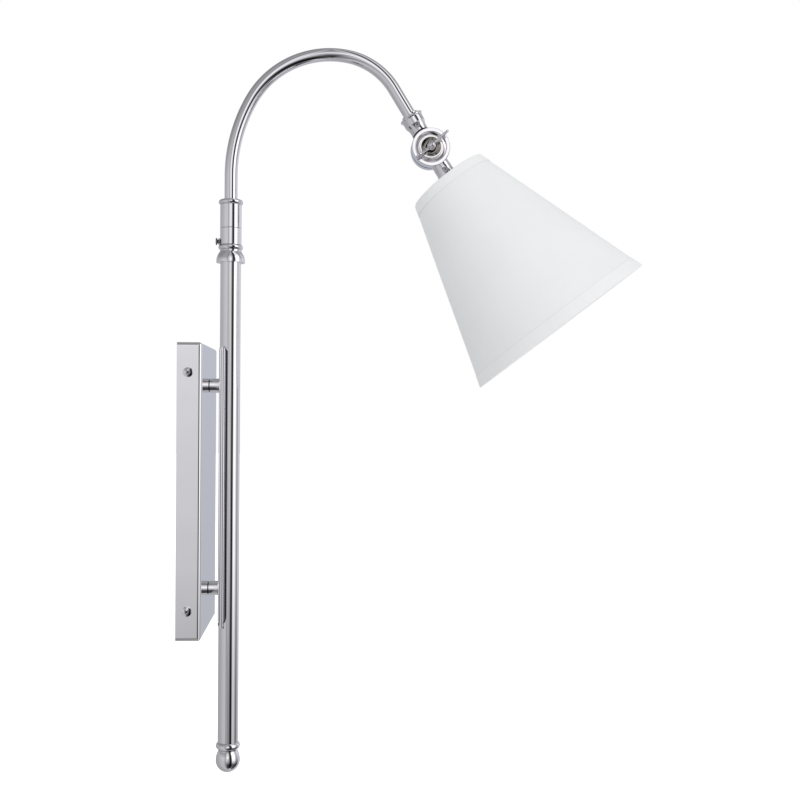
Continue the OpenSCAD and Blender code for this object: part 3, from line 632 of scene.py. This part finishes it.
def shade_cloth():
    outer = [(0.0, TAPE_T + (SHADE_H - 2 * TAPE_T) * i / CLOTH_ROWS) for i in range(CLOTH_ROWS + 1)]
    loop = outer + [(FABRIC_T, s) for _, s in reversed(outer)]
    rings = [[polar(shade_r(s) - depth + cloth_swell(angle, s), angle, s) for depth, s in loop]
             for angle in full_turn(SHADE_COLUMNS)]

    def uv(i, j):
        return flat_uv(2 * math.pi * i / SHADE_COLUMNS, loop[j % len(loop)][1])

    return finished(skin("shade_cloth", rings, SHADE_FRAME, uv=uv), "head", "shade_linen", "shade_fabric")


def round_wire(r, steps):
    """Points of (depth, distance from the edge) round the wire, 15 degrees a step from the edge's side."""
    return [(WIRE_DEPTH + r * math.sin(a), WIRE_IN + WRAP_GAP - r * math.cos(a))
            for a in (math.radians(15 * k) for k in steps)]


def tape_band(name, node, width, at_top):
    """Tape folded over the edge and the wire: out on the face, round the ring, back to the lining."""
    wrap_r = WIRE_IN + WRAP_GAP
    face = [(-TAPE_PROUD, width * (1 - i / 6) + 1.2 * i / 6) for i in range(7)]
    over = [(-TAPE_PROUD + 0.1, 0.55), (0.15, 0.14), (0.8, 0.04)]
    back = [(3.6, 6.6), (FABRIC_T + 0.75, 9.0), (FABRIC_T + 0.2, 9.2), (3.3, 6.2)]
    inside = [(0.7, 0.5), (0.1, 0.75), (-0.06, 1.4), (-0.06, width)]
    loop = (face + over + round_wire(wrap_r, range(9)) + back
            + round_wire(wrap_r - WRAP_T, range(8, -1, -1)) + inside)
    path = [0.0]
    for a, b in zip(loop, loop[1:]):
        path.append(path[-1] + math.hypot(a[0] - b[0], a[1] - b[1]))
    rings = []
    for angle in full_turn(SHADE_COLUMNS):
        pucker = 0.05 * math.sin(61 * angle) + 0.04 * math.sin(37 * angle + 0.7)
        ring = []
        for depth, s in loop:
            at = s if at_top else SHADE_H - s
            ease = min(1.0, max(0.0, s / 3)) if depth < 0 else 0.3
            swell = pucker * ease + cloth_swell(angle, at) * (depth < 1)
            ring.append(polar(shade_r(at) - depth + swell, angle, at))
        rings.append(ring)

    def uv(i, j):
        around = 2 * math.pi * i / SHADE_COLUMNS
        return around * shade_r(0 if at_top else SHADE_H) * MM, path[j % len(loop)] * MM

    return finished(skin(name, rings, SHADE_FRAME, uv=uv), "head", "shade_tape", node)


def shade():
    cloth = shade_cloth()
    top = tape_band("top_tape", "top_tape_band", TOP_TAPE_W, True)
    bottom = tape_band("bottom_tape", "bottom_tape_band", BOTTOM_TAPE_W, False)


# ---- Turned chrome parts ----

STEM_LAP_R = 9.45       # a hair inside the stem's face, so nothing coincides
BELL_NECK_R = 10.0
BELL_NECK_H = 10.2
DOME_SWEEP = 41.7
CROWN_SWEEP = 30.7
LOWER_BORE_R = 7.2
UPPER_BORE_R = 5.6
FOOT_NECK_R = 8.8
FOOT_NECK_H = 0.8
STEM_BORE_R = 7.9


def bell():
    dome = arc((BELL_R - DOME_R, BELL_Z + BELL_RIM), DOME_R, 0, DOME_SWEEP, 12)
    profile = [(STEM_LAP_R, BELL_Z), (BELL_R, BELL_Z), *dome[:-1], (BELL_NECK_R, BELL_Z + BELL_NECK_H),
               (BELL_NECK_R, COLLAR_Z), (STEM_LAP_R, COLLAR_Z)]
    finished(turned("bell", profile, STEM_FRAME, 192), "wall_mount", "polished_chrome", "stem_bell")


def sleeves():
    """The collar that stays on the stem, and the one above the seam that swings with the arm."""
    chamfer_r = SLEEVE_R - 0.2
    fixed = [(LOWER_BORE_R, COLLAR_Z), *bead(COLLAR_R, COLLAR_Z, BEAD_H), (SLEEVE_R, COLLAR_Z + BEAD_H),
             (SLEEVE_R, SEAM_Z - SEAM_HALF), (chamfer_r, SEAM_Z), (LOWER_BORE_R, SEAM_Z)]
    finished(turned("swivel_collar", fixed, STEM_FRAME, 192), "wall_mount", "polished_chrome", "lower_sleeve")

    low = SEAM_Z + SEAM_HALF
    seat_r = TUBE_R + 0.05
    swinging = [(UPPER_BORE_R, low), (chamfer_r, low), (SLEEVE_R, low + SEAM_HALF), (SLEEVE_R, ARM_BEAD_Z),
                *bead(ARM_BEAD_R, ARM_BEAD_Z, BEAD_H), (seat_r, ARM_BEAD_Z + BEAD_H), (seat_r, low + 12)]
    finished(turned("arm_collar", swinging, STEM_FRAME, 192), "arm", "polished_chrome", "upper_sleeve")


def foot():
    low = FOOT_TOP_Z - FOOT_BEAD_H
    ring = [(0, low - FOOT_NECK_H), (FOOT_NECK_R, low - FOOT_NECK_H), (FOOT_NECK_R, low),
            *bead(BALL_R, low, FOOT_BEAD_H), (STEM_BORE_R, FOOT_TOP_Z), (0, FOOT_TOP_Z)]
    finished(turned("foot_ring", ring, STEM_FRAME, 160), "wall_mount", "polished_chrome", "foot_bead")

    middle = BALL_TOP_Z - CROWN_H
    crown = arc((BALL_R - CROWN_R, middle), CROWN_R, 0, CROWN_SWEEP, 14)[1:]
    ball = arc((0, middle), BALL_R, -90, 0, 24) + crown + [(0, BALL_TOP_Z)]
    finished(turned("ball_turned", ball, STEM_FRAME, 160), "wall_mount", "polished_chrome", "ball_finial")


def gooseneck():
    """The drawn tube, ring by ring along its bends."""
    at, heading = Vector((STEM_X, 0, TUBE_SEAT_Z)), 0.0
    stations = [(at.copy(), heading)]
    at.z = BEND_Z
    stations.append((at.copy(), heading))
    for radius, degrees in BENDS:
        steps = round(degrees)
        step = math.radians(degrees / steps)
        for _ in range(steps):
            chord = 2 * radius * math.sin(step / 2)
            middle = heading + step / 2
            at += Vector((math.sin(middle), 0, math.cos(middle))) * chord
            heading += step
            stations.append((at.copy(), heading))
    tail = Vector((math.sin(heading), 0, math.cos(heading)))
    stations.append((PIVOT - tail * TUBE_STOP_AT, heading))
    across = Vector((0, 1, 0))
    rings = []
    for centre, turn in stations:
        side = Vector((math.cos(turn), 0, -math.sin(turn)))
        rings.append([centre + (side * math.cos(a) + across * math.sin(a)) * TUBE_R for a in full_turn(96)])
    piece = skin("gooseneck_drawn", rings, placed((0, 0, 0), Matrix.Identity(4)), wrap=False)
    finished(piece, "arm", "polished_chrome", "gooseneck_tube")


# ---- Knuckle ----

RECESS_FLOOR = DRUM_FACE - RECESS_DEPTH
HALF_GAP = 0.5          # near half's inner face from the arm's plane
NECK_BORE_R = 2.0
WASHER_BORE_R = 3.2
WASHER_EDGE = 0.3
DISH_R = 9.3
NUT_CLEAR = 0.3         # wing nut's foot above the bottom of the dish
NUT_FOOT_R = 5.2
NUT_WAIST_R = 3.5
DOME_HUB_R = 4.1
DOME_FROM = 4.0
WING_REACH = 20.0
WING_TIP = 3.4
WING_ROOT = 3.6


def knuckle_front():
    front = [(BOLT_R, HALF_GAP), (DRUM_R, HALF_GAP), (DRUM_R, DRUM_FACE), (RECESS_R, DRUM_FACE),
             (RECESS_FLOOR_R, RECESS_FLOOR), (BOLT_R, RECESS_FLOOR)]
    drum = turned("front_drum", rounded(front, 0.45), DRUM_FRAME, 192)
    neck = [(NECK_BORE_R, NECK_FROM), (NECK_R, NECK_FROM), (NECK_R, NECK_TO), (NECK_BORE_R, NECK_TO)]
    stub = turned("front_neck", rounded(neck, 0.25), HEAD_FRAME, 96)
    finished(joined("knuckle_front_turned", [drum, stub]), "head", "polished_chrome", "knuckle_front")


def cup_washer():
    """Washer with a spherical dish and a low ring round the nut's foot; the inside of the dish is darkened
    with painted shade.
    """
    dish_r = DISH_SPHERE_H + DISH_DEPTH
    dish = [(r, WASHER_T + DISH_SPHERE_H - math.sqrt(dish_r ** 2 - r ** 2))
            for r in (9.2 - 0.4 * k for k in range(7))]
    dish_floor = WASHER_T - DISH_DEPTH
    ring = [(6.6, 1.9), (6.3, 2.1), (5.9, 2.1), (5.6, 1.9), (5.5, dish_floor), (WASHER_BORE_R, dish_floor)]
    rim = [(WASHER_BORE_R, 0.0), (WASHER_R - 0.2, 0.0), (WASHER_R, 0.2), (WASHER_R, WASHER_T - WASHER_EDGE),
           (WASHER_R - WASHER_EDGE, WASHER_T), (9.5, WASHER_T)]
    profile = [(r, RECESS_FLOOR + h) for r, h in rim + dish + ring]
    # Painted shade and painted dark reflection: the dish inside DISH_R takes a darker tone
    metal = chrome("washer_chrome", WASHER_TINT, 0.03, painted_shade_zone=near_pivot(DISH_R, -DRUM_R, 0),
                   painted_shade_tone=DISH_SHADE_TINT, painted_shade_haze=0.05)
    finished(turned("dished_washer", profile, DRUM_FRAME, 160), "head", "polished_chrome", "cup_washer",
             material=metal)


def wing(base, side):
    """One wing, section by section outwards: it rises, widens to its tip and ends in a rounded edge."""
    rings = []
    for i in range(33):
        x = WING_ROOT + (WING_REACH - WING_ROOT) * (1 - (1 - i / 32) ** 2)
        t = min(1.0, (x - WING_ROOT) / (WING_REACH - WING_TIP - WING_ROOT))
        ease = t * t * (3 - 2 * t)
        past = min(1.0, max(0.0, (x - (WING_REACH - WING_TIP)) / WING_TIP))
        half = max((2.7 + (WING_TIP - 2.7) * ease) * math.sqrt(1 - past ** 2), 0.25)
        thick = max((1.7 - 0.5 * ease) * math.sqrt(1 - past ** 6), 0.25)
        ring = []
        for a in full_turn(24):
            c, d = math.cos(a), math.sin(a)
            ring.append(Vector((x, math.copysign(abs(c) ** 0.55, c) * thick,
                                base + 3.3 + 7.4 * ease + math.copysign(abs(d) ** 0.8, d) * half)))
        rings.append(ring)
    return skin("wing", rings, DRUM_FRAME @ rotation(WING_SLOPE, "Z") @ rotation(side, "Z"), wrap=False)


def wing_nut():
    base = RECESS_FLOOR + WASHER_T - DISH_DEPTH + NUT_CLEAR
    squeeze = HUB_H / (DOME_FROM + DOME_HUB_R)
    hub = [(0, 0), (NUT_FOOT_R, 0), (NUT_FOOT_R, 0.5), (NUT_WAIST_R, 1.3), (NUT_WAIST_R, 3.6),
           *arc((0, DOME_FROM), DOME_HUB_R, 0, 90, 16)]
    body = turned("hub", [(r, base + h * squeeze) for r, h in hub], DRUM_FRAME, 96)
    nut = joined("wing_nut_cast", [body, wing(base, 0), wing(base, 180)])
    # Painted shade: the nut's foot and waist, under the wings, take the dark tone
    metal = chrome("nut_chrome", painted_shade_zone=near_pivot(NUT_FOOT_R + 0.2, -(base + 2.2), 0))
    finished(nut, "wing_nut", "polished_chrome", "wing_nut", material=metal)


# ---- Screws ----

def thumbscrew():
    shank = [(0.0, -9.0), (1.5, -9.0), (1.5, 0.0)]
    head = [(3.0, 0.0), (3.3, 0.3), (3.2, 0.7), (2.1, 1.1), (1.9, 1.6), (2.1, 2.1), (3.2, 2.5), (3.4, 2.9),
            (3.2, 3.4), (0.0, 3.6)]

    def reeded(r, h, angle):
        return r * (1 + 0.018 * math.cos(26 * angle)) if h > 2.2 and r > 2.5 else r

    place = placed((THUMB_HEAD_X, 0, THUMB_Z), rotation(-90, "Y"))
    screw = turned("thumbscrew_reeded", shank + head, place, 156, reeded)
    finished(screw, "thumbscrew", "dark_steel", "thumbscrew")


def screw_recess_shade():
    """Painted shade: thin dark plates on the floors of the cross recesses of the cover's four screws."""
    outline = rounded([(-2.1, -0.66), (2.1, -0.66), (2.1, 0.66), (-2.1, 0.66)], 0.3, 3)
    rings = [[Vector((x, y, h)) for x, y in outline] for h in (-0.05, 0.05)]
    shells = []
    for side in (-1, 1):
        for height in (-SIDE_SCREW_Z, SIDE_SCREW_Z):
            head = placed((SIDE_SCREW_X, side * (PLATE_W / 2 + SIDE_SCREW_HEAD), height), rotation(90, "X"))
            shells += [skin("slot", rings, head @ rotation(turn, "Z"), wrap=False) for turn in (45, 135)]
    finished(joined("screw_recess_shade", shells), "wall_mount", "dark_steel")


# ---- The CAD nodes that stay, then the finer pieces ----

# Painted shade: the undercut where each post stands on the backplate is darkened
post_chrome = chrome("post_chrome", painted_shade_zone=post_seat_shade)
SPECIAL = {
    "backplate": chrome("plate_chrome", PLATE_TINT, 0.03, 0.01),
    # Painted shade on the rear half where it lies in the gap behind the front half
    "knuckle_rear": chrome("knuckle_chrome", painted_shade_zone=near_pivot(GAP_SHADE_R, -DRUM_R, 1.0)),
    "upper_post": post_chrome,
    "lower_post": post_chrome,
}

for part in frame["record"]["subparts"]:
    surfaces = NODES[part["node"]].data.materials
    surfaces.clear()
    surfaces.append(SPECIAL.get(part["node"], MATERIALS[part["material_slot"]]))

shade()
bell()
sleeves()
foot()
gooseneck()
knuckle_front()
cup_washer()
wing_nut()
thumbscrew()
screw_recess_shade()

camera()
studio_world()
floor()
key_light()
bpy.context.scene.view_settings.view_transform = "Standard"
